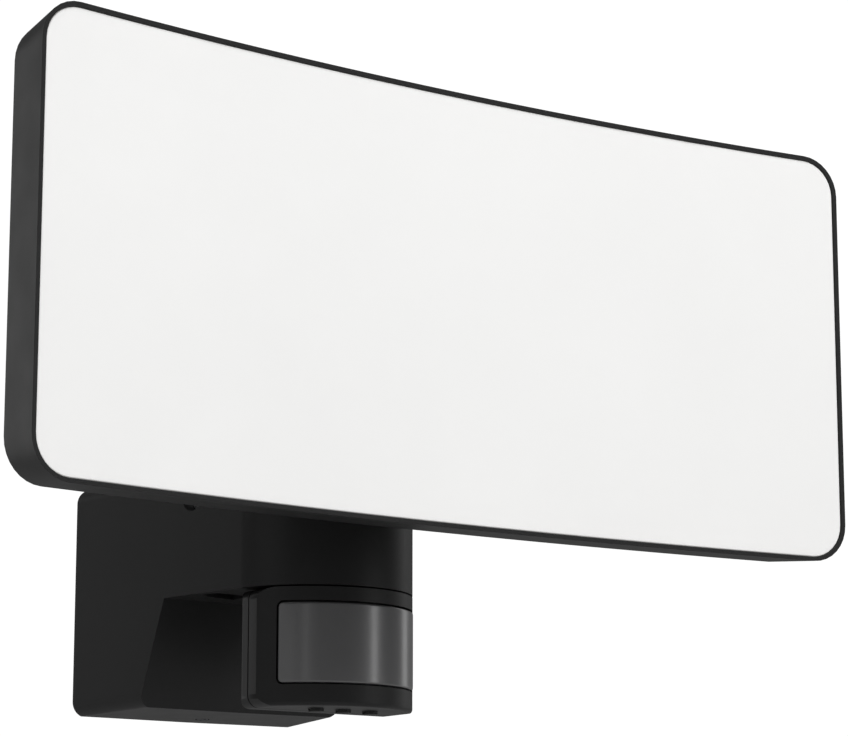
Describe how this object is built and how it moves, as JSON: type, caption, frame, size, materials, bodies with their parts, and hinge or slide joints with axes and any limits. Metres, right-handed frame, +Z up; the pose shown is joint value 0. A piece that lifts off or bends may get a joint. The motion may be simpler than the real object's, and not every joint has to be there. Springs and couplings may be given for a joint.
{
  "type": "floodlight with motion sensor",
  "caption": "Wall-mounted LED floodlight: a wide, gently curved light panel on a tilting arm, above a wall base with a turning motion sensor head.",
  "frame": {"origin": "middle of the wall plate, on the wall plane", "axes": "+X along the panel's width, +Y into the wall, +Z up; the light faces -Y"},
  "size_m": [0.27, 0.1528, 0.1697],
  "materials": {
    "foam": "closed-cell foam",
    "dark_plastic": "moulded, plain",
    "rubber": "moulded",
    "black_plastic": "fine texture, satin",
    "steel": "zinc plated",
    "dark_steel": "black zinc plated",
    "pale_plastic": "moulded",
    "brass": "turned",
    "board": "solder resist",
    "coil": "ferrite and tape",
    "capacitor": "sleeve",
    "blue_plastic": "moulded",
    "opal": "opal, satin",
    "sheet_metal": "rolled",
    "white_board": "white solder resist",
    "phosphor": "phosphor gel",
    "white_sheet": "micro-foamed",
    "smoky_lens": "smoked, satin outside",
    "can": "nickel plated",
    "cell": "clear coated",
    "knob_plastic": "moulded"
  },
  "bodies": {
    "base": {"wall_pad": "foam", "wall_plate": "dark_plastic", "cable_grommet": "rubber", "base_housing": "black_plastic", "lock_screw": "dark_steel", "terminal_block": "pale_plastic", "terminal_screws": "brass", "driver_board": "board", "board_screws": "steel", "transformer": "coil", "mains_capacitor": "capacitor", "relay": "blue_plastic", "breather_membranes": "rubber", "pan_bush": "pale_plastic", "tilt_bolt": "steel", "tilt_nut": "steel", "tilt_washers": "steel", "lead_gland": "rubber"},
    "panel": {"panel_housing": "black_plastic", "panel_seal": "rubber", "diffuser": "opal", "heat_spreader": "sheet_metal", "spreader_screws": "steel", "led_boards": "white_board", "led_chips": "phosphor", "reflector_sheets": "white_sheet", "pressure_vent": "rubber", "tilt_arm": "black_plastic", "arm_seal": "rubber", "arm_screws": "steel", "arm_lead": "rubber"},
    "sensor_head": {"sensor_front_cover": "black_plastic", "sensor_rear_shell": "black_plastic", "head_screws": "steel", "sensor_lens": "smoky_lens", "lens_seal": "rubber", "sensor_board": "board", "pyro_sensor": "can", "photocell": "cell", "sensor_neck": "dark_plastic", "neck_ring": "steel", "neck_washer": "rubber", "setting_board": "board", "potentiometers": "blue_plastic"},
    "time_dial": {"time_knob": "knob_plastic"},
    "light_level_dial": {"light_level_knob": "knob_plastic"},
    "range_dial": {"range_knob": "knob_plastic"}
  },
  "joints": [
    {"name": "panel_tilt", "type": "hinge", "parent": "base", "child": "panel", "pos_m": [0, -0.0547, 0.0265], "axis": [-1, 0, 0], "range_deg": [-30, 45]},
    {"name": "head_pan", "type": "hinge", "parent": "base", "child": "sensor_head", "pos_m": [0, -0.0712, 0], "axis": [0, 0, 1], "range_deg": [-75, 75]},
    {"name": "time_turn", "type": "hinge", "parent": "sensor_head", "child": "time_dial", "pos_m": [-0.0092, -0.0872, -0.0365], "axis": [0, 0, -1], "range_deg": [-135, 135]},
    {"name": "light_level_turn", "type": "hinge", "parent": "sensor_head", "child": "light_level_dial", "pos_m": [0, -0.0872, -0.0365], "axis": [0, 0, -1], "range_deg": [-135, 135]},
    {"name": "range_turn", "type": "hinge", "parent": "sensor_head", "child": "range_dial", "pos_m": [0.0092, -0.0872, -0.0365], "axis": [0, 0, -1], "range_deg": [-135, 135]}
  ]
}
